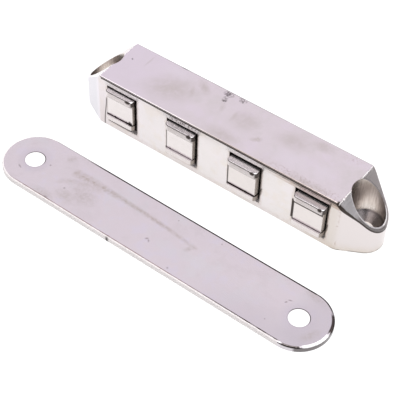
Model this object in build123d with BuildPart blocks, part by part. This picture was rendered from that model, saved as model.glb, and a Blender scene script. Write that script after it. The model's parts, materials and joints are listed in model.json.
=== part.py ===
from build123d import *
from math import radians, sin, tan
import os

# Magnetic catch: a die-cast housing with four floating magnet packs, and the striker plate that
# belongs to it. Millimetres. +X runs along the housing, the magnets face -Y, +Z is up.
# The origin is the middle of the housing's base.

# --- Housing ---
top_length = 68.0  # flat top, between the two sloped ears
body_length = 68.8  # between the bends where the long walls turn into the ears
housing_width = 14.9
housing_height = 15.4
front_wall = 1.2
back_wall = 1.4
roof_thickness = 1.9
slope_angle = 45.0  # of each ear's sloped face, down from the top face
bend_radius = 3.0
edge_round = 0.3  # around the top face and both sloped faces

# --- Screw holes in the ears ---
screw_offset = 3.7  # hole axis, outwards from the end of the top face
screw_hole_radius = 2.25
head_radius = 4.35  # straight bore that lets the screw head in
ear_rim = 0.7  # wall left around the head bore at the tip
head_seat_height = 4.8  # top of the countersink, over the base
head_seat_angle = 90.0

# --- Windows ---
window_width = 8.9
window_sill = 1.7  # bottom of the windows, over the base
window_end_margin = 2.35  # from the end windows to the end of the top face

# --- Magnet packs: a magnet block between two steel pole plates ---
pole_thickness = 1.5
nose_reach = 2.2  # how far the poles can stand out of the front face
nose_radius = 1.0
window_play = 0.3  # beside a pack in its window, each side
shoulder_catch = 0.8  # how far a pole's shoulders reach behind the front wall, each side
shoulder_depth = 1.8
magnet_inset = 0.3  # magnet narrower than the poles, each side
magnet_setback = 0.5  # magnet face behind the poles' front edges
magnet_end_gap = 1.0  # magnet shorter than the poles at the rear
pole_edge_round = 0.2
magnet_edge_round = 0.12

# --- Pockets that the packs float in ---
pack_travel = 0.8  # slide of a pack into the housing
back_play = 0.5  # left behind a pack that is pushed right in
shoulder_play = 0.3  # around the shoulders, beyond what sliding and turning need
tail_play = 0.65
seat_height = 3.4  # underside of the packs, over the base
top_play = 0.7  # above a pack on its seat
running_gap = 0.05

# How each loose pack has settled: turned (degrees), shifted along the housing, slid in and
# lifted off its seat (mm)
pack_settling = [
    (1.0, -0.1, 0.7, 0.3),
    (0.3, 0.0, 0.5, 0.2),
    (0.4, 0.1, 0.1, 0.0),
    (0.8, 0.2, 0.05, 0.05),
]
largest_turn = 2.5

# --- Base cover ---
cover_thickness = 1.0
cover_ledge = 1.2  # casting that the cover's ends bear on, past the end pockets
cover_clearance = 0.1
cover_corner_radius = 1.0
rail_width = 1.4
rail_spacing = 5.6
post_radius = 1.2
post_head_radius = 1.9
post_clearance = 0.05

# --- Striker plate ---
striker_length = 92.3
striker_width = 16.3
striker_thickness = 1.35
striker_hole_spacing = 76.6
striker_hole_radius = 2.4
striker_edge_round = 0.45
striker_gap = 13.25  # from the housing's front face to the plate lying before it
striker_shift = 0.8  # of the plate along the housing
striker_turn = -0.7  # degrees, as the plate lies

# --- Worked out from the sizes above ---
front_y = -housing_width / 2
inner_front_y = front_y + front_wall
inner_back_y = housing_width / 2 - back_wall
pocket_depth = inner_back_y - inner_front_y
pocket_ceiling = housing_height - roof_thickness
screw_x = top_length / 2 + screw_offset
ear_radius = head_radius + ear_rim
tip_x = screw_x + ear_radius
slope_drop = (tip_x - top_length / 2) * tan(radians(slope_angle))
window_count = len(pack_settling)
window_pitch = (top_length - 2 * window_end_margin - window_width) / (window_count - 1)
window_xs = [(i - (window_count - 1) / 2) * window_pitch for i in range(window_count)]
nose_width = window_width - 2 * window_play
shoulder_width = window_width + 2 * shoulder_catch
magnet_width = nose_width - 2 * magnet_inset
nose_length = nose_reach + front_wall
pole_length = nose_length + pocket_depth - pack_travel - back_play
magnet_height = pocket_ceiling - seat_height - 2 * pole_thickness - top_play
magnet_length = pole_length - magnet_setback - magnet_end_gap
shoulder_pocket_width = shoulder_width + 2 * shoulder_play
turn_sweep = shoulder_width * sin(radians(largest_turn))
shoulder_pocket_depth = shoulder_depth + turn_sweep + pack_travel + shoulder_play
tail_pocket_width = nose_width + 2 * tail_play
cover_length = 2 * (window_xs[-1] + shoulder_pocket_width / 2 + cover_ledge)
cover_width = pocket_depth - 2 * cover_clearance
cover_y = (inner_front_y + inner_back_y) / 2
rail_length = pocket_depth - 2 * back_play
web_xs = [(a + b) / 2 for a, b in zip(window_xs, window_xs[1:])]
post_spots = [(x, cover_y) for x in (web_xs[0], web_xs[-1])]
striker_y = front_y - striker_gap - striker_width / 2

os.makedirs("parts", exist_ok=True)

# --- Housing: a casting, open below, with a window before each pocket ---
with BuildPart() as housing:
    with BuildSketch() as plan:
        Rectangle(body_length, housing_width)
        with Locations((screw_x, 0), (-screw_x, 0)):
            Circle(ear_radius)
        make_hull()
        corners = plan.vertices().filter_by(lambda v: abs(v.Y) > housing_width / 2 - 0.01)
        fillet(corners, bend_radius)
    extrude(amount=housing_height)

    # Both ears slope down from the ends of the top face
    with BuildSketch(Plane.XZ):
        with BuildLine():
            Polyline(
                (top_length / 2, housing_height),
                (tip_x, housing_height - slope_drop),
                (tip_x + ear_radius, housing_height - slope_drop),
                (tip_x + ear_radius, housing_height),
                close=True,
            )
        make_face()
        mirror(about=Plane.YZ)
    extrude(amount=housing_width, both=True, mode=Mode.SUBTRACT)
    upper_faces = housing.faces().filter_by(lambda face: face.normal_at().Z > 0.1)
    fillet(upper_faces.edges(), edge_round)

    # Screw holes: a straight bore for the head, then a countersink and a clearance hole
    with Locations((screw_x, 0, head_seat_height), (-screw_x, 0, head_seat_height)):
        CounterSinkHole(screw_hole_radius, head_radius, housing_height, head_seat_angle)

    # Pockets, wide behind the front wall for the poles' shoulders, and open at the base
    with BuildSketch():
        with Locations(*[(x, inner_front_y) for x in window_xs]):
            Rectangle(tail_pocket_width, pocket_depth, align=(Align.CENTER, Align.MIN))
            Rectangle(shoulder_pocket_width, shoulder_pocket_depth, align=(Align.CENTER, Align.MIN))
    extrude(amount=pocket_ceiling, mode=Mode.SUBTRACT)

    # Windows through the front wall
    with BuildSketch(Plane.XZ.offset(-inner_front_y)):
        with Locations(*[(x, window_sill) for x in window_xs]):
            Rectangle(
                window_width, pocket_ceiling - window_sill, align=(Align.CENTER, Align.MIN)
            )
    extrude(amount=2 * front_wall, mode=Mode.SUBTRACT)

    # Seat of the base cover, with the posts that are riveted over it
    with BuildSketch():
        with Locations((0, cover_y)):
            RectangleRounded(
                cover_length + 2 * cover_clearance, pocket_depth, cover_corner_radius
            )
    extrude(amount=cover_thickness, mode=Mode.SUBTRACT)
    with BuildSketch():
        with Locations(*post_spots):
            Circle(post_radius)
    extrude(amount=cover_thickness)
    for x, y in post_spots:
        with BuildSketch(Plane((x, y, 0))):
            Circle(post_head_radius)
        extrude(amount=post_head_radius - post_radius, taper=45)
housing.part.label = "housing"
export_step(housing.part, "parts/housing.step")

# --- Base cover: closes the pockets and carries the packs on two rails each ---
with BuildPart() as base_cover:
    with BuildSketch():
        with Locations((0, cover_y)):
            RectangleRounded(cover_length, cover_width, cover_corner_radius)
    extrude(amount=cover_thickness)
    with BuildSketch(Plane.XY.offset(cover_thickness)):
        with Locations(*[(x, cover_y) for x in window_xs]):
            with GridLocations(rail_spacing, 0, 2, 1):
                Rectangle(rail_width, rail_length)
    extrude(amount=seat_height - cover_thickness)
    with Locations(*[Plane((x, y, 0), z_dir=(0, 0, -1)) for x, y in post_spots]):
        CounterSinkHole(
            post_radius + post_clearance, post_head_radius + post_clearance, cover_thickness, 90
        )
base_cover.part.label = "base_cover"
export_step(base_cover.part, "parts/base_cover.step")


def pole_outline():
    """Draw a pole plate in the open sketch: a nose with round corners, and two shoulders."""
    Rectangle(nose_width, pole_length, align=(Align.CENTER, Align.MIN))
    fillet(vertices().group_by(Axis.Y)[0], nose_radius)
    with Locations((0, nose_length)):
        Rectangle(shoulder_width, shoulder_depth, align=(Align.CENTER, Align.MIN))


def nose_rim(face, bed):
    """The edges of a pole plate's face that run around its nose, ahead of the shoulders."""
    return face.edges().filter_by(
        lambda edge: bed.to_local_coords(edge.center()).Y < nose_length - running_gap
    )


# --- Magnet packs ---
for number, (turn, shifted, slid_in, lifted) in enumerate(pack_settling, start=1):
    # The leading shoulder is what stops a turned pack behind the front wall
    stop_y = inner_front_y + running_gap + shoulder_width / 2 * sin(radians(abs(turn)))
    pack_x = window_xs[number - 1] + shifted
    pack_z = seat_height + running_gap + lifted
    pack_seat = Plane((pack_x, stop_y + slid_in, pack_z)).rotated((0, 0, turn))
    bed = Plane(pack_seat.from_local_coords(Vector(0, -nose_length, 0)), pack_seat.x_dir)

    with BuildPart() as lower_pole:
        with BuildSketch(bed):
            pole_outline()
        extrude(amount=pole_thickness)
        fillet(nose_rim(lower_pole.faces().sort_by(Axis.Z)[0], bed), pole_edge_round)
    lower_pole.part.label = f"lower_pole_{number}"
    export_step(lower_pole.part, f"parts/lower_pole_{number}.step")

    with BuildPart() as magnet:
        with BuildSketch(bed.offset(pole_thickness)):
            with Locations((0, magnet_setback)):
                Rectangle(magnet_width, magnet_length, align=(Align.CENTER, Align.MIN))
        extrude(amount=magnet_height)
        fillet(magnet.edges().filter_by(Axis.Z), magnet_edge_round)
    magnet.part.label = f"magnet_{number}"
    export_step(magnet.part, f"parts/magnet_{number}.step")

    with BuildPart() as upper_pole:
        with BuildSketch(bed.offset(pole_thickness + magnet_height)):
            pole_outline()
        extrude(amount=pole_thickness)
        fillet(nose_rim(upper_pole.faces().sort_by(Axis.Z)[-1], bed), pole_edge_round)
    upper_pole.part.label = f"upper_pole_{number}"
    export_step(upper_pole.part, f"parts/upper_pole_{number}.step")

# --- Striker plate: a blanked strip with round ends, lying before the housing ---
striker_bed = Plane((striker_shift, striker_y, 0)).rotated((0, 0, striker_turn))
with BuildPart() as striker_plate:
    with BuildSketch(striker_bed):
        SlotOverall(striker_length, striker_width)
    extrude(amount=striker_thickness)
    fillet(striker_plate.faces().sort_by(Axis.Z)[-1].edges(), striker_edge_round)
    with Locations(striker_bed.offset(striker_thickness)):
        with GridLocations(striker_hole_spacing, 0, 2, 1):
            Hole(striker_hole_radius)
striker_plate.part.label = "striker_plate"
export_step(striker_plate.part, "parts/striker_plate.step")
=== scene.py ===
import json
import math
from types import SimpleNamespace

import bpy
from mathutils import Matrix, Vector

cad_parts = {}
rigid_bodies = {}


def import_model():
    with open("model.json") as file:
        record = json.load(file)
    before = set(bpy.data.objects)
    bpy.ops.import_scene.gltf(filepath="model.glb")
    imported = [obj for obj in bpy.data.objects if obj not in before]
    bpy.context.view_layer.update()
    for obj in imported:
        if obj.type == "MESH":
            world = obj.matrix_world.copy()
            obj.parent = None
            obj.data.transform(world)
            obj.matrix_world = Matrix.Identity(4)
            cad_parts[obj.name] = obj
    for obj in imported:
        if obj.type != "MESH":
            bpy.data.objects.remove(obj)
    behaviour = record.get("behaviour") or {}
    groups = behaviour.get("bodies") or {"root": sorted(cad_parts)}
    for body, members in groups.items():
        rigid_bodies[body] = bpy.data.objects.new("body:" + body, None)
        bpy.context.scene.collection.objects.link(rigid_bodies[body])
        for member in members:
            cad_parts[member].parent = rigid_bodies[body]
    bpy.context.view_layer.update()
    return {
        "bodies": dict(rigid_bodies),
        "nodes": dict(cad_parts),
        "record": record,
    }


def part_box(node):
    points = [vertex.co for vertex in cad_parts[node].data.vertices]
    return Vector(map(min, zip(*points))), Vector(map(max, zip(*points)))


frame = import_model()

# The finishes, camera and studio of a magnetic catch. Sizes and places are in millimetres down to the
# studio, and MM turns them into metres.
MM = 0.001

# --- Places, worked out from the frame ---
mounts = {mount["name"]: mount for mount in frame["record"]["mounts"]}
housing_low, housing_high = [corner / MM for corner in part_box("housing")]
striker_low, striker_high = [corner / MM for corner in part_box("striker_plate")]
striker_centre = (striker_low + striker_high) / 2
striker_hole_offset = mounts["striker_screws"]["dims"]["pcd_mm"] / 2
striker_hole_radius = mounts["striker_screws"]["dims"]["hole_r_mm"]
screw_x = mounts["screw_hole_right"]["pos_m"][0] / MM
pack_bodies = [name for name in frame["bodies"] if name.startswith("pack_")]

# --- Sizes of the casting ---
FRONT_Y = housing_low.y
BACK_Y = housing_high.y
TOP_Z = housing_high.z
TOP_END = 34.0  # where the flat top turns down into the ears
HEAD_BORE_RADIUS = 4.35
HEAD_SEAT_HEIGHT = 4.8
SCREW_HOLE_RADIUS = 2.25
WINDOW_PITCH = 18.13
WINDOW_WIDTH = 8.9
WINDOW_SILL = 1.7
WINDOW_CEILING = 13.5
POCKETS_END = 33.2

# --- Sizes of the magnet packs ---
NOSE_WIDTH = 8.3  # of a pole plate, where it stands out of its window
MAGNET_SETBACK = 0.5

# --- How the striker plate lies ---
STRIKER_TURN = math.radians(-0.7)
STRIKER_WIDTH = 16.3
STRIKER_HALF_SPINE = 38.0  # from its middle to the centre of a round end

# --- Camera: where it looks, from how far, and how it is turned ---
CAMERA_AIM = Vector((1.15, -13.8, 0.0))
CAMERA_DISTANCE = 287.4
CAMERA_AZIMUTH = math.radians(34.78)
CAMERA_ELEVATION = math.radians(48.48)
CAMERA_ROLL = math.radians(1.954)
CAMERA_LENS = 109.35
CAMERA_SENSOR = 36.0
CAMERA_BACK = Vector((
    math.sin(CAMERA_AZIMUTH) * math.cos(CAMERA_ELEVATION),
    -math.cos(CAMERA_AZIMUTH) * math.cos(CAMERA_ELEVATION),
    math.sin(CAMERA_ELEVATION),
))


def place_camera():
    """Stand the camera back from the aim point along its line of sight."""
    camera_data = bpy.data.cameras.new("camera")
    camera_data.lens = CAMERA_LENS
    camera_data.sensor_width = CAMERA_SENSOR
    camera_data.clip_start = 0.01
    camera_data.clip_end = 20.0
    camera = bpy.data.objects.new("camera", camera_data)
    bpy.context.scene.collection.objects.link(camera)
    level = (-CAMERA_BACK).to_track_quat("-Z", "Y").to_matrix().to_4x4()
    roll = Matrix.Rotation(CAMERA_ROLL, 4, "Z")
    stand = Matrix.Translation((CAMERA_AIM + CAMERA_BACK * CAMERA_DISTANCE) * MM)
    camera.matrix_world = stand @ level @ roll
    bpy.context.scene.camera = camera


# --- Node helpers ---
class Nodes:
    """A node tree under construction: each call adds its nodes and returns an output socket."""

    def __init__(self, tree):
        self.tree = tree
        self.tree.nodes.clear()

    def add(self, kind):
        return self.tree.nodes.new(kind)

    def feed(self, socket, value):
        """Link a socket, or set its constant."""
        if isinstance(value, bpy.types.NodeSocket):
            self.tree.links.new(value, socket)
        else:
            socket.default_value = value

    def math(self, operation, *values):
        node = self.add("ShaderNodeMath")
        node.operation = operation
        for socket, value in zip(node.inputs, values):
            self.feed(socket, value)
        return node.outputs[0]

    def plus(self, first, second):
        return self.math("ADD", first, second)

    def minus(self, first, second):
        return self.math("SUBTRACT", first, second)

    def divided(self, first, second):
        return self.math("DIVIDE", first, second)

    def off(self, value, middle=0.0):
        """How far a value is from the middle, to either side."""
        return self.math("ABSOLUTE", self.minus(value, middle))

    def beyond(self, value, middle, reach):
        """How far a value is outside the reach around the middle, 0 inside it."""
        return self.math("MAXIMUM", self.minus(self.off(value, middle), reach), 0.0)

    def rest(self, share):
        """What a share leaves of 1."""
        return self.minus(1.0, share)

    def product(self, *values):
        result = values[0]
        for value in values[1:]:
            result = self.math("MULTIPLY", result, value)
        return result

    def most(self, *values):
        result = values[0]
        for value in values[1:]:
            result = self.math("MAXIMUM", result, value)
        return result

    def length(self, *sides):
        """Length of the diagonal over two or three sides."""
        squares = [self.math("POWER", side, 2.0) for side in sides]
        total = squares[0]
        for square in squares[1:]:
            total = self.plus(total, square)
        return self.math("SQRT", total)

    def turned(self, x, y, angle):
        """The same place along and across a line that lies at an angle."""
        c, s = math.cos(angle), math.sin(angle)
        along = self.plus(self.product(x, c), self.product(y, s))
        across = self.minus(self.product(y, c), self.product(x, s))
        return along, across

    def ramp(self, value, low, high, to_low=0.0, to_high=1.0):
        """Ease from to_low to to_high while the value goes from low to high."""
        node = self.add("ShaderNodeMapRange")
        node.interpolation_type = "SMOOTHSTEP"
        for name, number in zip(("Value", "From Min", "From Max", "To Min", "To Max"),
                                (value, low, high, to_low, to_high)):
            self.feed(node.inputs[name], number)
        return node.outputs["Result"]

    def fade(self, value, low, high, start=1.0):
        """Ease from start down to 0 while the value goes from low to high."""
        return self.ramp(value, low, high, start, 0.0)

    def band(self, value, low, high, soft):
        """1 between low and high, easing off over soft at each side."""
        return self.product(self.ramp(value, low - soft, low), self.fade(value, high, high + soft))

    def axes(self, vector):
        node = self.add("ShaderNodeSeparateXYZ")
        self.feed(node.inputs[0], vector)
        return node.outputs["X"], node.outputs["Y"], node.outputs["Z"]

    def mix(self, share, first, second):
        """Blend two colours."""
        node = self.add("ShaderNodeMix")
        node.data_type = "RGBA"
        self.feed(node.inputs["Factor"], share)
        for name, value in (("A", first), ("B", second)):
            socket = [s for s in node.inputs if s.name == name and s.type == "RGBA"][0]
            self.feed(socket, (*value, 1.0) if isinstance(value, tuple) else value)
        return [s for s in node.outputs if s.type == "RGBA"][0]


class Finish(Nodes):
    """A material under construction, patterned on object coordinates in millimetres."""

    def __init__(self, name):
        self.material = bpy.data.materials.new(name)
        self.material.use_nodes = True
        super().__init__(self.material.node_tree)
        self.shader = self.add("ShaderNodeBsdfPrincipled")
        output = self.add("ShaderNodeOutputMaterial")
        self.tree.links.new(self.shader.outputs["BSDF"], output.inputs["Surface"])
        scaled = self.add("ShaderNodeVectorMath")
        scaled.operation = "SCALE"
        self.feed(scaled.inputs[0], self.add("ShaderNodeTexCoord").outputs["Object"])
        scaled.inputs["Scale"].default_value = 1 / MM
        self.place = scaled.outputs["Vector"]
        self.x, self.y, self.z = self.axes(self.place)
        self.normal = self.add("ShaderNodeNewGeometry").outputs["Normal"]

    def mapped(self, move=(0, 0, 0), turn=(0, 0, 0), scale=(1, 1, 1)):
        node = self.add("ShaderNodeMapping")
        node.inputs["Location"].default_value = move
        node.inputs["Rotation"].default_value = turn
        node.inputs["Scale"].default_value = scale
        self.feed(node.inputs["Vector"], self.place)
        return node.outputs["Vector"]

    def noise(self, size, detail=3.0, roughness=0.5, where=None):
        """Noise whose features are about size millimetres across."""
        node = self.add("ShaderNodeTexNoise")
        node.inputs["Scale"].default_value = 1 / size
        node.inputs["Detail"].default_value = detail
        node.inputs["Roughness"].default_value = roughness
        self.feed(node.inputs["Vector"], where or self.place)
        return node.outputs["Fac"]

    def jitter(self, noise, span):
        """Noise spread evenly around 0, over a span in millimetres."""
        return self.product(self.minus(noise, 0.5), span)

    def bump(self, height, distance, after=None):
        """Relief whose full height is distance millimetres."""
        node = self.add("ShaderNodeBump")
        node.inputs["Strength"].default_value = 1.0
        node.inputs["Distance"].default_value = distance * MM
        self.feed(node.inputs["Height"], height)
        if after is not None:
            self.feed(node.inputs["Normal"], after)
        return node.outputs["Normal"]

    def blot(self, x, y, radius, stretch=1.0, degrees=0.0):
        """A soft round mark seen from above, or an oval one stretched along its own line."""
        along, across = self.turned(self.minus(self.x, x), self.minus(self.y, y),
                                    math.radians(degrees))
        far = self.length(self.divided(along, stretch), across)
        return self.fade(far, 0.0, radius)

    def blots(self, marks):
        return self.most(*[self.blot(*mark) for mark in marks])

    def surface(self, colour, roughness, metallic=1.0, normal=None):
        for name, value in (("Base Color", colour), ("Roughness", roughness), ("Metallic", metallic)):
            self.feed(self.shader.inputs[name], value)
        if normal is not None:
            self.feed(self.shader.inputs["Normal"], normal)
        return self.material


def dress(node_name, material):
    """Give a CAD node its material."""
    node = frame["nodes"][node_name]
    node.data.materials.clear()
    node.data.materials.append(material)


# --- Near-black on more than one piece: dirt, and also painted shade and dark reflections ---
GRIME_AND_SHADE = (0.035, 0.025, 0.020)
# Painted shade for everything that lies inside the pockets, behind the front wall
POCKET_SHADE = (0.020, 0.014, 0.010)

# --- Housing: colours ---
CASTING = SimpleNamespace(
    nickel=(0.745, 0.700, 0.705),
    dull=(0.66, 0.62, 0.62),
    warm=(0.68, 0.65, 0.63),
    violet=(0.77, 0.71, 0.76),
    left_end=(0.755, 0.700, 0.755),
    pale_patch=(0.78, 0.74, 0.77),
    smudge=(0.615, 0.572, 0.550),
    brown_speck=(0.40, 0.30, 0.26),
    front=(0.695, 0.655, 0.635),
    front_patch=(0.70, 0.64, 0.595),
    cream_wall=(0.63, 0.575, 0.535),
    cream_ear=(0.675, 0.625, 0.615),
    yellowed=(0.63, 0.565, 0.50),
    cool_ear=(0.635, 0.615, 0.655),
    # Painted dark reflection for the rounded top edge
    round_dark_reflection=(0.34, 0.28, 0.26),
    stain=(0.42, 0.31, 0.25),
    # Painted highlight for the ears' edges and the bore's lip
    edge_glint=(0.96, 0.94, 0.93),
    # Painted reflection for the band over the windows
    pale_reflection=(0.98, 0.945, 0.93),
    sill=(0.98, 0.94, 0.92),
)
# The far colour is a darker copy of the ground finish: painted shade for the far half of each slope
GROUND = SimpleNamespace(near=(0.98, 0.95, 0.96), far=(0.86, 0.80, 0.79), scratch=(0.55, 0.53, 0.53))
BORED = SimpleNamespace(
    zinc=(0.95, 0.89, 0.85),
    streak=(0.66, 0.60, 0.55),
    shade=(0.36, 0.32, 0.29),
    seat=(0.33, 0.31, 0.31),
    screw_hole=(0.78, 0.72, 0.68),
)

# --- Housing: marks on the top face, as x, y, radius, stretch and turn in degrees ---
TOP_SMUDGES = (
    (-17.6, -0.6, 6.4, 1.5, 24),
    (-11.4, 4.6, 1.9, 2.2, -35),
    (2.8, 1.2, 4.6, 1.1, 0),
    (8.2, -2.2, 1.1, 2.0, 35),
    (15.4, 2.6, 3.8, 1.7, 8),
    (22.0, 5.4, 2.4, 1.8, 0),
    (1.0, -5.8, 3.0, 2.4, 0),
    (25.0, -6.6, 1.7, 5.0, 0),
)
TOP_STROKES = (
    (-12.9, 1.6, 0.9, 3.6, -66),
    (-0.2, 1.0, 0.8, 3.6, -84),
    (-27.5, 4.0, 0.5, 6.0, 88),
    (8.6, -1.8, 0.6, 2.6, -50),
    (-4.0, 1.6, 1.0, 2.4, -75),
)
TOP_PALE_PATCHES = ((-19.5, 5.0, 3.2, 2.0, 0), (18.5, -2.6, 4.0, 1.9, 0), (26.0, -1.8, 4.0, 1.2, 0))
TOP_GRIT = ((-5.4, 6.3, 1.4, 1.3, 0), (-5.2, 4.2, 0.9, 1.8, -70), (-1.5, 6.5, 1.2, 1.2, 0))
TOP_SPECKS = ((-31.4, 2.1, 0.32, 1.4, -40), (-19.0, 7.2, 0.3, 6.0, 0))
TOP_BROWN_SPECKS = ((29.4, 6.0, 1.6, 2.2),)


def from_window(f):
    """Where a point on the front wall is, measured sideways from the nearest window's middle."""
    return f.minus(f.math("WRAP", f.x, WINDOW_PITCH, 0.0), WINDOW_PITCH / 2)


def window_distance(f):
    """How far a point on the front wall is outside the nearest window."""
    beside = f.beyond(from_window(f), 0.0, WINDOW_WIDTH / 2)
    above = f.beyond(f.z, (WINDOW_SILL + WINDOW_CEILING) / 2, (WINDOW_CEILING - WINDOW_SILL) / 2)
    return f.length(beside, above)


def casting_zones(f):
    """Parts of the casting that are finished differently, each 0 to 1; the pocket takes painted shade,
    and the end edge and lip take painted highlights.

    below_slope and bore_reach are distances: under the plane of the ears' slopes, and from the axis
    of the nearer screw hole.
    """
    side = f.off(f.x)
    past_top = f.minus(side, TOP_END)
    below_slope = f.product(f.minus(f.minus(TOP_Z, past_top), f.z), math.sqrt(0.5))
    bore_reach = f.length(f.minus(side, screw_x), f.y)
    zones = SimpleNamespace(below_slope=below_slope, bore_reach=bore_reach)

    between_walls = f.band(f.y, FRONT_Y + 0.12, BACK_Y - 1.2, 0.06)
    under_roof = f.fade(f.z, TOP_Z - 1.2, TOP_Z - 1.0)
    over_sill = f.ramp(f.z, WINDOW_SILL, WINDOW_SILL + 0.1)
    behind_wall = f.ramp(f.y, FRONT_Y + 1.1, FRONT_Y + 1.3)
    at_pockets = f.fade(side, POCKETS_END, POCKETS_END + 0.1)
    zones.pocket = f.product(between_walls, under_roof, f.most(over_sill, behind_wall), at_pockets)
    zones.sill = f.product(f.ramp(f.y, FRONT_Y, FRONT_Y + 0.02),
                           f.band(f.z, WINDOW_SILL - 0.05, WINDOW_SILL + 0.05, 0.05),
                           f.rest(behind_wall), at_pockets)
    zones.front = f.fade(f.y, FRONT_Y + 0.05, FRONT_Y + 0.25)
    zones.top = f.ramp(f.z, TOP_Z - 0.08, TOP_Z - 0.02)
    zones.front_round = f.product(f.fade(f.y, FRONT_Y + 0.26, FRONT_Y + 0.34),
                                  f.ramp(f.z, TOP_Z - 0.34, TOP_Z - 0.26))
    zones.near_half = f.fade(f.y, 0.0, 2.0)
    zones.right_ear = f.ramp(f.x, TOP_END - 0.9, TOP_END - 0.5)

    off_slope = f.off(below_slope)
    zones.slope = f.product(f.fade(off_slope, 0.04, 0.12), f.ramp(past_top, 0.1, 0.3))
    off_end = f.off(f.plus(past_top, f.jitter(f.noise(0.55, 4.0, 0.7), 0.9)))
    zones.end_edge = f.product(f.fade(off_end, 0.07, 0.17), f.ramp(f.z, TOP_Z - 0.5, TOP_Z - 0.4),
                               f.ramp(f.noise(0.8, 3.0, 0.7), 0.36, 0.54, 0.35, 1.0))

    past_bore = f.minus(bore_reach, HEAD_BORE_RADIUS)
    zones.bore = f.product(f.fade(past_bore, 0.02, 0.08), f.ramp(below_slope, 0.0, 0.1))
    on_slope = f.fade(off_slope, 0.10, 0.25)
    right_half = f.ramp(f.x, 0.0, 1.0)
    zones.bore_edge = f.product(f.band(past_bore, 0.02, 0.16, 0.06), on_slope, right_half)
    zones.far_bore_edge = f.product(f.band(past_bore, 0.02, 0.30, 0.06), on_slope, right_half,
                                    f.ramp(f.y, 1.0, 2.0))
    zones.lip = f.product(f.fade(past_bore, 0.10, 0.30), on_slope,
                          f.ramp(f.x, screw_x + 1.6, screw_x + 2.6), f.band(f.y, 0.2, 3.2, 1.0))
    return zones


def top_edge_shade_and_dirt(f, zones):
    """Dark lines along the top's front edge and back edge. Under the rounded front edge the line is
    painted shade, broken into flecks like dirt; the dots are dirt.
    """
    fleck = f.noise(0.30, 2.0, 0.6, f.mapped(scale=(1.0, 0.3, 0.6)))
    depth = f.plus(f.minus(TOP_Z, f.z), f.jitter(f.noise(2.5), 0.06))
    line = f.product(f.band(depth, 0.27, 0.66, 0.06), f.ramp(fleck, 0.25, 0.42, 0.9, 1.0))
    second_line = f.product(f.band(depth, 0.90, 1.05, 0.10), f.ramp(fleck, 0.30, 0.60, 0.2, 0.9),
                            f.ramp(f.x, 4.0, 20.0, 0.0, 0.9))
    line = f.product(f.most(line, second_line), zones.front,
                     f.fade(f.off(f.x), TOP_END - 0.6, TOP_END - 0.2))
    dots = f.product(f.band(f.x, -12.6, -5.0, 0.6), f.band(f.z, 13.9, 14.5, 0.4), zones.front,
                     f.ramp(fleck, 0.46, 0.56, 0.0, 0.75))
    back_line = f.product(f.ramp(f.y, BACK_Y - 0.40, BACK_Y - 0.24), zones.top,
                          f.ramp(fleck, 0.35, 0.60, 0.10, 0.55), f.band(f.x, -22.0, 6.0, 8.0))
    return f.most(line, dots, back_line)


def ear_dark_lines(f, zones):
    """Dark lines around the right-hand ear's slope and bore, and along its foot."""
    past_bore = f.minus(zones.bore_reach, HEAD_BORE_RADIUS)
    thickness = f.ramp(f.x, TOP_END + 0.5, TOP_END + 5.0, 0.98, 0.52)
    slope_line = f.product(f.ramp(zones.below_slope, 0.02, 0.10),
                           f.fade(f.minus(zones.below_slope, thickness), -0.12, 0.0),
                           f.ramp(past_bore, 0.3, 0.45), zones.right_ear, zones.near_half,
                           f.fade(f.z, TOP_Z - 0.30, TOP_Z - 0.15))
    tip_rim = f.product(f.ramp(past_bore, 0.22, 0.34), f.fade(f.off(zones.below_slope), 0.10, 0.20),
                        f.ramp(f.x, screw_x - 1.0, screw_x + 1.0), zones.near_half, 0.82)
    far_edge = f.product(zones.far_bore_edge, 0.75)
    corner = f.product(f.band(f.x, TOP_END - 0.4, TOP_END + 1.6, 0.4),
                       f.fade(f.y, FRONT_Y + 0.5, FRONT_Y + 0.9),
                       f.ramp(zones.below_slope, -0.05, 0.05), f.fade(zones.below_slope, 0.7, 0.9))
    foot_line = f.product(f.fade(f.z, 0.20, 0.45), zones.right_ear, zones.near_half,
                          f.ramp(f.noise(1.2), 0.35, 0.60, 0.15, 0.6))
    return f.most(slope_line, tip_rim, far_edge, corner, foot_line)


def window_shade(f, zones):
    """Painted shade around the windows, widest at their right, and beside each window's left edge, and
    a dark line in the casting's crease at the left.
    """
    sideways = from_window(f)
    past_left = f.minus(f.product(sideways, -1.0), WINDOW_WIDTH / 2)
    line_width = f.ramp(f.x, -24.0, 27.0, 0.28, 0.60)
    left_line = f.product(f.fade(f.minus(past_left, line_width), -0.10, 0.0),
                          f.ramp(past_left, -0.1, 0.0), f.band(f.z, 3.4, 9.3, 0.3))
    rim_width = f.ramp(sideways, 0.0, WINDOW_WIDTH / 2, 0.18, 0.42)
    rim = f.product(f.fade(window_distance(f), 0.0, rim_width), f.ramp(f.z, 2.0, 2.6),
                    f.ramp(f.noise(1.4), 0.35, 0.65, 0.60, 0.9))
    crease_x = f.ramp(f.z, 0.0, 10.0, -32.85, -32.05)
    crease = f.product(f.fade(f.off(f.x, crease_x), 0.05, 0.30, 0.8), f.fade(f.z, 8.5, 9.8))
    return f.product(f.most(rim, left_line, crease), zones.front)


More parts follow.
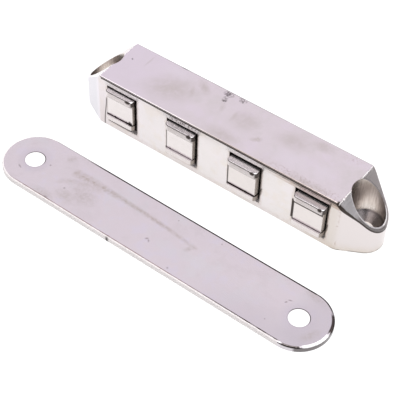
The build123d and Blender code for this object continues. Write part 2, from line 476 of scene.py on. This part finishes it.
def casting_stain(f, zones):
    """Brown tarnish that creeps out from the windows, and lies along the top's front edge."""
    creep = f.noise(1.1, 4.0, 0.6)
    far = f.plus(window_distance(f), f.jitter(creep, 1.2))
    halo = f.product(f.fade(far, 0.05, 0.9, 0.36),
                     f.ramp(f.z, WINDOW_CEILING, WINDOW_CEILING + 0.4, 1.0, 0.15))
    ledge = f.product(f.band(f.z, WINDOW_CEILING, TOP_Z - 0.6, 0.2),
                      f.ramp(f.x, 12.0, 26.0, 0.06, 0.85), f.ramp(creep, 0.3, 0.6, 0.6, 1.0))
    bend_spots = f.product(f.band(f.x, 34.3, 34.7, 0.35), f.ramp(f.noise(0.9), 0.52, 0.66), 0.55)
    foot = f.product(f.fade(f.z, 0.4, 2.0, 0.22), f.ramp(creep, 0.3, 0.6, 0.3, 1.0))
    left_bend = f.product(f.band(f.x, -34.2, -32.8, 0.5), f.ramp(f.z, 2.0, 13.0, 0.22, 0.05))
    return f.product(f.most(halo, ledge, foot, left_bend, bend_spots), zones.front)


def mark_top(f, zones, colour, rough):
    """Smudges, pale patches and specks on the top face."""
    patchy = f.ramp(f.noise(1.6, 5.0, 0.65), 0.3, 0.6, 0.55, 1.0)
    smudges = f.plus(f.product(f.blots(TOP_SMUDGES), patchy), f.product(f.blots(TOP_STROKES), 0.5))
    smudges = f.product(smudges, zones.top)
    colour = f.mix(f.product(f.blots(TOP_PALE_PATCHES), zones.top, 0.6), colour, CASTING.pale_patch)
    colour = f.mix(f.math("MINIMUM", smudges, 1.0), colour, CASTING.smudge)
    rough = f.plus(rough, f.product(smudges, 0.10))

    grit = f.noise(0.40, 3.0, 0.7)
    along_edge = f.product(f.band(f.y, -7.2, -5.6, 0.8), f.ramp(f.x, 8.0, 20.0), 0.8)
    brown = f.product(f.most(f.blots(TOP_BROWN_SPECKS), along_edge), f.ramp(grit, 0.50, 0.62))
    colour = f.mix(f.product(brown, zones.top, 0.45), colour, CASTING.brown_speck)
    black = f.product(f.blots(TOP_GRIT), f.ramp(grit, 0.44, 0.56), 1.6)
    black = f.math("MINIMUM", f.most(black, f.blots(TOP_SPECKS)), 1.0)
    return f.mix(f.product(black, zones.top, 0.80), colour, GRIME_AND_SHADE), rough


def tint_front(f, zones, tint, colour):
    """The front wall and the ears' near sides: cream to the right, cool to the left, with the rounded
    top edge painted darker, as a dark reflection, most to the right.
    """
    colour = f.mix(f.product(zones.front, 0.45), colour, CASTING.front)
    patch = f.ramp(f.noise(3.2, 4.0, 0.6, f.mapped(move=(0, 0, 20.0))), 0.48, 0.66, 0.0, 0.6)
    colour = f.mix(f.product(zones.front, patch), colour, CASTING.front_patch)
    ear_side = f.product(f.ramp(f.x, TOP_END - 0.5, TOP_END + 0.5), zones.near_half)
    warm_end = f.most(f.product(zones.front, f.ramp(f.x, 20.0, 34.0)), ear_side)
    cream = f.mix(f.ramp(f.x, TOP_END - 1.0, TOP_END + 1.5), CASTING.cream_wall, CASTING.cream_ear)
    low_down = f.fade(f.plus(f.z, f.product(tint, 4.0)), 1.5, 5.0, 0.9)
    cream = f.mix(low_down, cream, CASTING.yellowed)
    colour = f.mix(f.product(warm_end, 0.95), colour, cream)
    colour = f.mix(f.product(f.fade(f.x, -36.5, -34.0), zones.near_half), colour, CASTING.cool_ear)
    # Painted dark reflection on the rounded top edge, stronger to the right
    tarnish = f.product(zones.front_round, f.ramp(f.x, -12.0, 6.0, 0.25, 0.9))
    return f.mix(tarnish, colour, CASTING.round_dark_reflection)


def bored_metal(f, zones):
    """Bare turned metal of the screw holes, with painted shade in the countersink, at its step and on
    the inward side.
    """
    past_axis = f.minus(f.off(f.x), screw_x)
    unrolled = f.add("ShaderNodeCombineXYZ")
    f.feed(unrolled.inputs["X"], f.product(f.math("ARCTAN2", f.y, past_axis), HEAD_BORE_RADIUS))
    f.feed(unrolled.inputs["Z"], f.product(f.z, 0.06))
    streak = f.noise(0.30, 4.0, 0.7, unrolled.outputs[0])
    colour = f.mix(f.ramp(streak, 0.3, 0.7), BORED.zinc, BORED.streak)
    inward = f.product(f.fade(past_axis, -4.0, -2.2, 0.8), f.fade(f.y, -1.0, 1.5))
    colour = f.mix(inward, colour, BORED.shade)
    over_seat = f.minus(f.z, HEAD_SEAT_HEIGHT)
    # Painted shade in the countersink and at its step
    colour = f.mix(f.fade(over_seat, -0.1, 0.0, 0.8), colour, BORED.seat)
    colour = f.mix(f.product(f.band(over_seat, -0.25, 0.05, 0.25), 0.35), colour, GRIME_AND_SHADE)
    in_screw_hole = f.fade(zones.bore_reach, SCREW_HOLE_RADIUS + 0.02, SCREW_HOLE_RADIUS + 0.1)
    return f.mix(in_screw_hole, colour, BORED.screw_hole), streak


def plated_casting():
    """Bright nickel over a die casting, with ground slopes, machined bores, pockets painted dark as
    shade, painted highlights on the ears' edges and a painted reflection over each window.
    """
    f = Finish("plated_casting")
    zones = casting_zones(f)
    cloud = f.noise(8.0, 4.0, 0.6)
    tint = f.noise(4.5, 4.0, 0.6, f.mapped(move=(10.0, 20.0, 0)))
    colour = f.mix(f.ramp(cloud, 0.35, 0.75, 0.0, 0.30), CASTING.nickel, CASTING.dull)
    colour = f.mix(f.ramp(tint, 0.50, 0.66, 0.0, 0.55), colour, CASTING.warm)
    colour = f.mix(f.fade(tint, 0.34, 0.48, 0.45), colour, CASTING.violet)
    colour = f.mix(f.fade(f.x, -34.0, -6.0, 0.7), colour, CASTING.left_end)
    rough = f.ramp(cloud, 0.3, 0.7, 0.13, 0.19)
    colour, rough = mark_top(f, zones, colour, rough)
    colour = tint_front(f, zones, tint, colour)
    colour = f.mix(casting_stain(f, zones), colour, CASTING.stain)
    # Dark lines, partly painted shade and partly dirt, darken the colour and roughen it
    shade_and_dirt = f.most(top_edge_shade_and_dirt(f, zones), ear_dark_lines(f, zones), window_shade(f, zones))
    clean = f.rest(shade_and_dirt)
    colour = f.mix(f.product(shade_and_dirt, 0.95), colour, GRIME_AND_SHADE)
    rough = f.plus(rough, f.product(shade_and_dirt, 0.3))

    scratch = f.noise(0.16, 2.0, 0.6, f.mapped(turn=(0, 0, 0.3), scale=(1.0, 0.08, 1.0)))
    # The slopes' far half is painted darker, as shade
    far_half = f.ramp(f.y, -1.5, 1.5)
    ground = f.mix(far_half, GROUND.near, GROUND.far)
    ground = f.mix(f.ramp(scratch, 0.3, 0.7, 0.0, 0.35), ground, GROUND.scratch)
    clean_slope = f.product(zones.slope, clean)
    colour = f.mix(clean_slope, colour, ground)
    rough = f.plus(rough, f.product(zones.slope, 0.14))

    bored, streak = bored_metal(f, zones)
    colour = f.mix(zones.bore, colour, bored)
    rough = f.plus(rough, f.product(zones.bore, 0.12))

    # Painted highlight: matt white along the ears' end edges, round the bore's lip and at its near edge
    near_edge = f.product(zones.bore_edge, f.band(f.y, -4.4, -1.2, 0.8), 0.30)
    edge_glint = f.product(f.most(zones.end_edge, zones.lip, near_edge), f.rest(zones.bore), 0.9)
    colour = f.mix(edge_glint, colour, CASTING.edge_glint)
    # Painted reflection: a pale matt band on the wall over each window, weaker to the right
    reflection_over_windows = f.product(f.band(f.z, WINDOW_CEILING, TOP_Z - 0.85, 0.2), zones.front,
                             f.fade(f.off(from_window(f)), 4.0, 5.8, 0.72), clean,
                             f.ramp(f.x, 14.0, 22.0, 1.0, 0.35))
    colour = f.mix(reflection_over_windows, colour, CASTING.pale_reflection)
    colour = f.mix(zones.sill, colour, CASTING.sill)
    # Painted shade inside the pockets
    colour = f.mix(zones.pocket, colour, POCKET_SHADE)
    matt = f.most(edge_glint, reflection_over_windows, zones.sill, f.product(clean_slope, f.rest(far_half), 0.03))
    rough = f.plus(rough, f.product(f.most(matt, zones.pocket), 0.4))

    relief = f.bump(f.noise(0.35, 2.0), 0.0015)
    relief = f.bump(f.product(scratch, zones.slope), 0.012, relief)
    relief = f.bump(f.product(streak, zones.bore), 0.02, relief)
    relief = f.bump(f.product(f.noise(0.5, 3.0, 0.7), zones.end_edge), 0.10, relief)
    return f.surface(colour, rough, f.rest(matt), relief)


# --- Striker plate: colours ---
STRIP = SimpleNamespace(
    nickel=(0.715, 0.670, 0.685),
    dull=(0.655, 0.620, 0.62),
    warm=(0.64, 0.60, 0.60),
    violet=(0.70, 0.67, 0.73),
    grey=(0.69, 0.68, 0.69),
    shaded=(0.60, 0.565, 0.59),
    # Painted shade for the right-hand end
    right_end=(0.58, 0.555, 0.58),
    rubbed=(0.40, 0.345, 0.275),
    haze=(0.50, 0.46, 0.42),
    hole_ring_shade=(0.62, 0.585, 0.62),
    speck=(0.16, 0.13, 0.12),
    sheared=(0.86, 0.82, 0.805),
    # Painted highlight on the rounded right-hand end
    bright=(1.0, 1.0, 1.0),
    brown=(0.20, 0.12, 0.10),
    hole_wall=(0.95, 0.94, 0.93),
)

# --- Striker plate: marks, as x, y, radius, stretch and turn in degrees ---
STRIP_HAZE = (
    (-21, -30.2, 4.2, 1.5, -20),
    (-24, -33, 3.0, 1.5, 0),
    (-29.0, -35.6, 2.2, 2.2, 0),
    (38.6, -22.2, 1.7, 2.6, -12),
    (38.4, -22.3, 1.2, 2.0, -12),
    (-30.5, -22.9, 1.4, 1.3, 60),
    (8.6, -28.3, 0.9, 2.0, 60),
    (43.6, -31.8, 1.6, 2.4, 60),
)
STRIP_SPECKS = (
    (-33.3, -27.6, 0.40),
    (-25.9, -31.2, 0.40),
    (-0.9, -31.6, 0.45, 1.6, 40),
    (-0.2, -31.9, 0.35, 2.0, -50),
    (1.7, -22.9, 0.30),
    (34.5, -27.4, 0.38, 1.5, 60),
    (35.0, -26.5, 0.32, 2.4, 20),
    (-27.7, -36.0, 0.5, 1.7, 0),
    (-8.4, -36.4, 0.4),
    (33.3, -34.0, 0.25),
    (8.0, -35.6, 0.4),
    (-39.0, -32.2, 0.35, 3.0, -25),
    (13.8, -22.6, 0.3),
)
STRIP_NICK = ((-8.44, -37.25, 0.75),)


def strip_places(f):
    """How far a point is inside the plate's outline and past its nearer hole, along and across it."""
    along, across = f.turned(f.minus(f.x, striker_centre.x), f.minus(f.y, striker_centre.y),
                             STRIKER_TURN)
    past_spine = f.beyond(along, 0.0, STRIKER_HALF_SPINE)
    return SimpleNamespace(
        inside=f.minus(STRIKER_WIDTH / 2, f.length(past_spine, across)),
        past_hole=f.minus(f.length(f.minus(f.off(along), striker_hole_offset), across),
                          striker_hole_radius),
        along=along,
        across=across,
    )


def rubbed_arcs(f):
    """Two rubbed arcs that run along the plate from its left-hand end."""
    long_bow = f.math("POWER", f.divided(f.minus(f.x, -18.0), 27.0), 2.0)
    long_y = f.minus(-25.6, f.product(long_bow, 1.6))
    width = f.ramp(f.x, -27.0, -8.0, 1.7, 0.8)
    long_arc = f.rest(f.math("MINIMUM", f.divided(f.off(f.y, long_y), width), 1.0))
    long_arc = f.product(long_arc, f.band(f.x, -26.6, 9.5, 1.2), f.ramp(f.x, -4.0, 10.0, 1.0, 0.45))
    short_bow = f.math("POWER", f.divided(f.minus(f.x, -18.5), 11.0), 2.0)
    short_y = f.minus(-26.4, f.product(short_bow, 4.6))
    short_arc = f.product(f.fade(f.off(f.y, short_y), 0.0, 1.6),
                          f.band(f.x, -27.5, -18.5, 2.0), 0.40)
    return f.most(long_arc, short_arc)


def strip_edges(f, at):
    """How much painted dark reflection and shade, brown dirt, matt sheared metal and painted highlight
    the plate's edge shows.
    """
    patchy = f.ramp(f.noise(1.8), 0.35, 0.6, 0.65, 1.0)
    around = f.math("DEGREES", f.math("ARCTAN2", at.across, f.minus(at.along, STRIKER_HALF_SPINE)))
    right_end = f.ramp(at.along, STRIKER_HALF_SPINE - 0.5, STRIKER_HALF_SPINE + 0.5)
    straight_run = f.rest(right_end)
    front = f.fade(at.across, -2.0, 0.0)
    back = f.ramp(at.across, 0.0, 2.0)

    back_line = f.product(f.band(at.inside, 0.0, 0.55, 0.06), back, straight_run,
                          f.ramp(at.along, -30.0, -22.0, 0.0, 0.95))
    far_line = f.product(f.band(at.inside, 0.0, 0.48, 0.06), right_end, f.ramp(around, 30, 60), 0.9)
    tip_line = f.product(f.fade(at.inside, 0.62, 0.85), right_end, f.band(around, 10, 38, 10), 0.95)
    low_patch = f.product(f.band(at.inside, 0.06, 0.48, 0.06), right_end,
                          f.band(around, -80, -56, 8), 0.9)
    outline = f.product(f.fade(at.inside, 0.05, 0.12), right_end, f.band(around, -60, 10, 6), 0.75)
    front_line = f.product(f.band(at.inside, 0.38, 0.62, 0.06), front, straight_run, patchy,
                           f.ramp(at.along, 8.0, 30.0, 0.0, 0.95))
    # The dark lines are painted dark reflections and shade on the rounded edges and round the
    # right-hand end
    black = f.most(back_line, far_line, tip_line, low_patch, outline, front_line)

    brown = f.product(f.band(at.inside, 0.40, 0.56, 0.06), front, straight_run, patchy,
                      f.ramp(at.along, -42.0, -34.0), f.ramp(at.along, 8.0, 30.0, 0.55, 0.1))
    brown = f.math("MINIMUM", f.product(brown, 1.5), 1.0)
    left_end = f.fade(at.along, -STRIKER_HALF_SPINE - 1.0, -STRIKER_HALF_SPINE + 1.0)
    sheared = f.product(f.fade(at.inside, 0.36, 0.44), f.most(f.product(front, straight_run), left_end))
    # Painted highlight: a white crescent on the rounded right-hand end
    bright = f.product(f.band(at.inside, 0.10, 0.70, 0.08), right_end, f.band(around, -44, -4, 8))
    return black, brown, sheared, bright


def plated_strip():
    """Nickelled steel strip: rolled haze, rubbed arcs, specks, brown grime at its sheared edge, painted
    shade towards its right end and round its holes, and painted dark reflections and a painted
    highlight on its rounded edges.
    """
    f = Finish("plated_strip")
    at = strip_places(f)
    cloud = f.noise(11.0, 4.0, 0.6)
    tint = f.noise(4.0, 4.0, 0.6, f.mapped(move=(30.0, 10.0, 0)))
    grey = f.noise(6.0, 4.0, 0.6, f.mapped(move=(50.0, 40.0, 0)))
    colour = f.mix(f.ramp(cloud, 0.35, 0.75, 0.0, 0.35), STRIP.nickel, STRIP.dull)
    colour = f.mix(f.ramp(tint, 0.50, 0.66, 0.0, 0.35), colour, STRIP.warm)
    colour = f.mix(f.fade(tint, 0.34, 0.48, 0.60), colour, STRIP.violet)
    colour = f.mix(f.ramp(grey, 0.50, 0.66, 0.0, 0.6), colour, STRIP.grey)
    shaded = f.product(f.ramp(at.along, 5.0, 40.0), f.fade(at.across, -7.0, 3.0), 0.75)
    colour = f.mix(shaded, colour, STRIP.shaded)
    # Painted shade towards the right-hand end
    colour = f.mix(f.ramp(at.along, 34.0, 41.0, 0.0, 0.55), colour, STRIP.right_end)

    speckle = f.ramp(f.noise(0.8, 3.0, 0.7), 0.40, 0.62, 0.45, 1.0)
    colour = f.mix(f.product(rubbed_arcs(f), speckle, 0.68), colour, STRIP.rubbed)
    haze = f.product(f.blots(STRIP_HAZE), f.ramp(speckle, 0.3, 1.0, 0.4, 1.0), 0.55)
    colour = f.mix(haze, colour, STRIP.haze)
    # Painted shade in a ring round each hole
    colour = f.mix(f.fade(at.past_hole, 0.2, 2.6, 0.55), colour, STRIP.hole_ring_shade)
    colour = f.mix(f.product(f.blots(STRIP_SPECKS), 0.50), colour, STRIP.speck)

    black, brown, sheared, bright = strip_edges(f, at)
    colour = f.mix(sheared, colour, STRIP.sheared)
    colour = f.mix(bright, colour, STRIP.bright)
    colour = f.mix(brown, colour, STRIP.brown)
    colour = f.mix(black, colour, GRIME_AND_SHADE)
    # Painted shade along the holes' rim, darkest on its far side
    hole_rim_shade = f.product(f.band(at.past_hole, 0.0, 0.20, 0.06), f.ramp(f.z, 1.18, 1.28),
                         f.ramp(at.across, -0.8, 1.4, 0.2, 1.0))
    colour = f.mix(hole_rim_shade, colour, GRIME_AND_SHADE)
    colour = f.mix(f.fade(at.past_hole, 0.02, 0.07), colour, STRIP.hole_wall)
    nick = f.product(f.blots(STRIP_NICK), f.fade(at.inside, 0.3, 0.5), 1.8)
    colour = f.mix(f.math("MINIMUM", nick, 1.0), colour, GRIME_AND_SHADE)

    matt = f.product(f.most(sheared, bright), f.rest(black))
    rough = f.plus(f.ramp(cloud, 0.3, 0.7, 0.15, 0.21), f.product(matt, 0.45))
    rolled = f.noise(0.5, 3.0, 0.6, f.mapped(turn=(0, 0, STRIKER_TURN), scale=(0.04, 1.0, 1.0)))
    return f.surface(colour, rough, f.rest(f.product(matt, 0.9)), f.bump(rolled, 0.0012))


# --- Magnet packs: colours ---
POLE = SimpleNamespace(
    plated=(0.70, 0.65, 0.64),
    dull=(0.62, 0.56, 0.53),
    brushed=(0.94, 0.90, 0.91),
    brushed_dark=(0.80, 0.76, 0.76),
    # Painted dark reflection for the rounded front edges
    dark_edge_reflection=(0.13, 0.115, 0.11),
    painted_highlight=(0.97, 0.96, 0.96),
    # Painted dark reflection for a lower plate's right-hand side
    lower_side_reflection=(0.27, 0.23, 0.20),
)
MAGNET = SimpleNamespace(
    left_pair=(0.735, 0.688, 0.678),
    right_pair=(0.705, 0.655, 0.635),
    dull=(0.67, 0.625, 0.60),
    side=(0.55, 0.48, 0.42),
)

# --- Magnet packs: marks ---
# The painted dark reflection at each upper pole plate's right-hand corner: half its length and half its
# height
CORNER_REFLECTIONS = {
    "upper_pole_1": (1.00, 0.58),
    "upper_pole_2": (0.85, 0.72),
    "upper_pole_3": (0.78, 0.60),
    "upper_pole_4": (0.72, 0.72),
}

# Dirt on each lower pole plate along its magnet's foot: how black it is, 0 to 1, how wide, and by how
# many degrees the loose pack is turned
FOOT_DIRT = {
    "lower_pole_1": (1.0, 0.22, 1.0),
    "lower_pole_2": (0.75, 0.13, 0.3),
    "lower_pole_3": (1.0, 0.26, 0.4),
    "lower_pole_4": (0.85, 0.15, 0.8),
}

# Lumps of dirt that stand up from each magnet's foot: place along it, half width and height
FOOT_LUMPS = {
    "magnet_1": ((-1.2, 0.45, 0.45), (2.1, 0.5, 0.35), (3.2, 0.9, 0.95)),
    "magnet_2": ((-2.6, 0.3, 0.15),),
    "magnet_3": ((1.5, 0.6, 0.40), (-2.0, 0.5, 0.15)),
    "magnet_4": ((2.0, 0.4, 0.15),),
}

# Shadow line on each magnet under its upper pole plate: how far down it reaches and how dark it is
HEAD_SHADOW = {"magnet_4": (1.00, 0.95)}
USUAL_HEAD_SHADOW = (0.80, 0.35)


def corner_highlight_and_reflection(f, colour, nose_end, low, high, half_length, half_height):
    """A painted highlight on the corner with a painted dark reflection beside it, tapering towards the
    corner.
    """
    highlight_reach = f.length(f.minus(f.x, nose_end - 0.42), f.minus(f.y, low.y + 0.55),
                     f.minus(f.z, high.z - 0.05))
    colour = f.mix(f.fade(highlight_reach, 0.15, 0.50), colour, POLE.painted_highlight)
    along = f.divided(f.minus(f.x, nose_end - 0.40 - half_length), half_length)
    back = f.divided(f.minus(f.y, low.y + 0.05), 0.6)
    up = f.divided(f.minus(f.z, high.z - 0.30), half_height)
    lowered = f.product(f.plus(0.55, f.product(along, -0.45)), 0.2)
    dark_reflection = f.length(along, back, f.plus(up, lowered))
    return f.mix(f.fade(dark_reflection, 0.55, 0.95, 0.95), colour, GRIME_AND_SHADE)


def dirty_ledge(f, colour, flat, nose_end, low, blackness, width, turn):
    """Dirt on the ledge that a lower pole plate leaves before its magnet."""
    from_left = f.minus(f.x, nose_end - NOSE_WIDTH)
    front_edge = f.plus(low.y, f.product(from_left, math.tan(math.radians(turn))))
    start = MAGNET_SETBACK - width
    ledge = f.product(f.ramp(f.minus(f.y, front_edge), start - 0.05, start + 0.05), flat, blackness)
    return f.mix(ledge, colour, GRIME_AND_SHADE)


def pole_steel(name, low, high):
    """Plated pole plate, brushed from front to back, with painted dark reflections on its rounded front
    edges and right-hand side and painted shade inside its pocket; an upper one has a painted highlight
    and a painted dark reflection at its corner.
    """
    f = Finish(name + "_plating")
    normal_x, normal_y, normal_z = f.axes(f.normal)
    streak = f.noise(0.14, 3.0, 0.7, f.mapped(scale=(1.0, 0.05, 0.4)))
    patch = f.noise(1.8, 3.0, 0.6)
    flat = f.ramp(normal_z, 0.93, 0.99)
    colour = f.mix(f.ramp(patch, 0.35, 0.7, 0.0, 0.4), POLE.plated, POLE.dull)
    colour = f.mix(flat, colour, f.mix(f.ramp(streak, 0.3, 0.7), POLE.brushed, POLE.brushed_dark))
    # Painted dark reflection on the rounded front edges, in place of their highlight
    rounded = f.product(f.band(normal_z, 0.12, 0.93, 0.05), f.fade(normal_y, -0.3, -0.1), 0.95)
    colour = f.mix(rounded, colour, POLE.dark_edge_reflection)

    nose_end = (low.x + high.x) / 2 + NOSE_WIDTH / 2
    side_reflection = POLE.lower_side_reflection
    if name in CORNER_REFLECTIONS:
        side_reflection = GRIME_AND_SHADE
        colour = corner_highlight_and_reflection(f, colour, nose_end, low, high, *CORNER_REFLECTIONS[name])
    if name in FOOT_DIRT:
        colour = dirty_ledge(f, colour, flat, nose_end, low, *FOOT_DIRT[name])
    # Painted dark reflection on the right-hand sides: black on an upper plate, dark brown on a lower
    # one
    colour = f.mix(f.product(f.ramp(normal_x, 0.34, 0.68), 0.95), colour, side_reflection)
    # Painted shade on the part of the plate that lies inside its pocket
    colour = f.mix(f.ramp(f.y, FRONT_Y, FRONT_Y + 0.5, 0.0, 0.97), colour, POCKET_SHADE)
    rough = f.ramp(streak, 0.3, 0.7, 0.26, 0.32)
    return f.surface(colour, rough, 1.0, f.bump(f.product(streak, flat), 0.0015))


def magnet_plating(name, low, high):
    """Plated magnet block: pale face, brown sides, grime along its foot, a painted shadow under its
    upper pole plate and painted shade along its left edge.
    """
    f = Finish(name + "_plating")
    patch = f.noise(1.6, 4.0, 0.6)
    fresh = MAGNET.left_pair if low.x < 0 else MAGNET.right_pair
    colour = f.mix(f.ramp(patch, 0.35, 0.75, 0.0, 0.4), fresh, MAGNET.dull)
    along = f.minus(f.x, (low.x + high.x) / 2)
    crumbs = f.ramp(f.noise(0.35, 3.0, 0.6), 0.40, 0.60, 0.55, 1.1)
    lumps = [f.product(f.fade(f.off(along, place), 0.2 * half, half, height), crumbs)
             for place, half, height in FOOT_LUMPS[name]]
    foot = f.fade(f.minus(f.minus(f.z, low.z), f.most(0.0, *lumps)), 0.05, 0.13)
    reach, shade = HEAD_SHADOW.get(name, USUAL_HEAD_SHADOW)
    head = f.fade(f.minus(high.z, f.z), reach - 0.05, reach + 0.10, shade)
    left = f.fade(f.minus(f.x, low.x), 0.22, 0.42, 0.8)
    # Dirt at the foot, painted shadow under the pole plate and painted shade at the left edge
    colour = f.mix(f.product(f.most(foot, head, left), 0.95), colour, GRIME_AND_SHADE)
    side = f.ramp(f.axes(f.normal)[0], 0.4, 0.8)
    colour = f.mix(side, colour, MAGNET.side)
    # Painted shade on the part of the magnet that lies inside its pocket
    colour = f.mix(f.ramp(f.y, FRONT_Y - 0.45, FRONT_Y + 0.30, 0.0, 0.97), colour, POCKET_SHADE)
    rough = f.ramp(patch, 0.3, 0.7, 0.15, 0.21)
    return f.surface(colour, rough, f.rest(side), f.bump(f.noise(0.25, 2.0), 0.001))


# --- Base cover ---
COVER = SimpleNamespace(light=(0.56, 0.55, 0.54), dull=(0.46, 0.44, 0.42))


def cover_sheet():
    """Dull zinc-plated sheet with a rolled grain."""
    f = Finish("cover_sheet")
    grain = f.noise(0.4, 4.0, 0.65, f.mapped(scale=(0.05, 1.0, 1.0)))
    patch = f.noise(5.0, 3.0, 0.6)
    colour = f.mix(f.ramp(patch, 0.35, 0.7), COVER.light, COVER.dull)
    return f.surface(colour, f.ramp(grain, 0.3, 0.7, 0.36, 0.5), 1.0, f.bump(grain, 0.004))


# --- Studio: sizes in metres from here on ---
FLOOR_SIZE = 6.0
FLOOR_GREY = (0.16, 0.16, 0.16, 1.0)
FLOOR_GLOW = (1.0, 1.0, 1.005, 1.0)
FLOOR_GLOW_STRENGTH = 1.02
OVERHEAD_PLACE = (0.0, 0.0, 0.6)
OVERHEAD_SIZE = 0.3
OVERHEAD_POWER = 1.2

# Brightness of the dome by height, from the horizon at 0 to overhead at 1
DOME_STEPS = [
    (0.00, (0.03, 0.03, 0.03)),
    (0.20, (0.09, 0.09, 0.09)),
    (0.30, (0.25, 0.25, 0.25)),
    (0.38, (0.50, 0.49, 0.50)),
    (0.50, (0.72, 0.69, 0.71)),
    (0.60, (0.94, 0.88, 0.96)),
    (0.90, (0.97, 0.91, 0.98)),
    (1.00, (1.30, 1.27, 1.30)),
]

# Round patches on the dome, in the order they are laid on: which way they hang, half their spread in
# degrees, the width of their soft edge, and how bright they are
DOME_PATCHES = [
    (CAMERA_BACK, 9.0, 4.0, (0.02, 0.02, 0.02)),
    ((0.583, -0.086, 0.808), 8.0, 3.0, (4.0, 4.0, 4.0)),
    ((-0.38, -0.06, 0.92), 14.0, 4.0, (3.0, 3.0, 3.0)),
    ((0.26, 0.54, 0.80), 9.0, 4.0, (3.0, 3.0, 3.0)),
]
FRONT_DARK = (0.03, 0.03, 0.03)
BACKDROP = (1.0, 1.0, 1.0, 1.0)


def pale_floor():
    """A pale floor that glows a little, as a light table does."""
    bpy.ops.mesh.primitive_plane_add(size=FLOOR_SIZE, location=(0, 0, housing_low.z * MM))
    floor = bpy.context.active_object
    floor.name = "floor"
    material = bpy.data.materials.new("floor_paint")
    material.use_nodes = True
    shader = material.node_tree.nodes["Principled BSDF"]
    shader.inputs["Base Color"].default_value = FLOOR_GREY
    shader.inputs["Roughness"].default_value = 1.0
    shader.inputs["Specular IOR Level"].default_value = 0.0
    shader.inputs["Emission Color"].default_value = FLOOR_GLOW
    shader.inputs["Emission Strength"].default_value = FLOOR_GLOW_STRENGTH
    floor.data.materials.append(material)


def overhead_light():
    """A square softbox over the middle of the set, facing down."""
    light_data = bpy.data.lights.new("overhead", "AREA")
    light_data.size = OVERHEAD_SIZE
    light_data.energy = OVERHEAD_POWER
    light = bpy.data.objects.new("overhead", light_data)
    light.location = OVERHEAD_PLACE
    bpy.context.scene.collection.objects.link(light)


def studio_dome():
    """A dome that is bright overhead, pale at half height and dark near the horizon.

    It is darker low down on the camera's side, with a dark spot where the camera would stand, a
    small lamp beside it, and two softboxes that only the rounded edges mirror.
    """
    world = bpy.data.worlds.new("studio")
    bpy.context.scene.world = world
    world.use_nodes = True
    n = Nodes(world.node_tree)
    way = n.add("ShaderNodeTexCoord").outputs["Generated"]
    x, y, z = n.axes(way)
    steps = n.add("ShaderNodeValToRGB")
    for position, _ in DOME_STEPS[1:-1]:
        steps.color_ramp.elements.new(position)
    for element, (position, colour) in zip(steps.color_ramp.elements, DOME_STEPS):
        element.position = position
        element.color = (*colour, 1.0)
    n.feed(steps.inputs["Fac"], z)

    towards_camera = n.plus(n.product(x, math.sin(CAMERA_AZIMUTH)),
                            n.product(y, -math.cos(CAMERA_AZIMUTH)))
    low_front = n.product(n.ramp(towards_camera, 0.1, 0.35), n.fade(z, 0.55, 0.70), 0.92)
    sky = n.mix(low_front, steps.outputs["Color"], FRONT_DARK)
    for direction, radius, soft, glow in DOME_PATCHES:
        nearness = n.add("ShaderNodeVectorMath")
        nearness.operation = "DOT_PRODUCT"
        n.feed(nearness.inputs[0], way)
        nearness.inputs[1].default_value = Vector(direction).normalized()
        patch = n.ramp(nearness.outputs["Value"], math.cos(math.radians(radius + soft)),
                       math.cos(math.radians(radius)))
        sky = n.mix(patch, sky, glow)

    dome = n.add("ShaderNodeBackground")
    n.feed(dome.inputs["Color"], sky)
    backdrop = n.add("ShaderNodeBackground")
    backdrop.inputs["Color"].default_value = BACKDROP
    chosen = n.add("ShaderNodeMixShader")
    output = n.add("ShaderNodeOutputWorld")
    n.feed(chosen.inputs["Fac"], n.add("ShaderNodeLightPath").outputs["Is Camera Ray"])
    n.feed(chosen.inputs[1], dome.outputs[0])
    n.feed(chosen.inputs[2], backdrop.outputs[0])
    n.feed(output.inputs["Surface"], chosen.outputs[0])


bpy.ops.object.select_all(action="DESELECT")
place_camera()
pale_floor()
studio_dome()
overhead_light()
bpy.context.scene.view_settings.view_transform = "Standard"

dress("housing", plated_casting())
dress("striker_plate", plated_strip())
dress("base_cover", cover_sheet())
for body in pack_bodies:
    for node_name in frame["record"]["behaviour"]["bodies"][body]:
        finish = magnet_plating if node_name.startswith("magnet") else pole_steel
        lowest, highest = [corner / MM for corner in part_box(node_name)]
        dress(node_name, finish(node_name, lowest, highest))
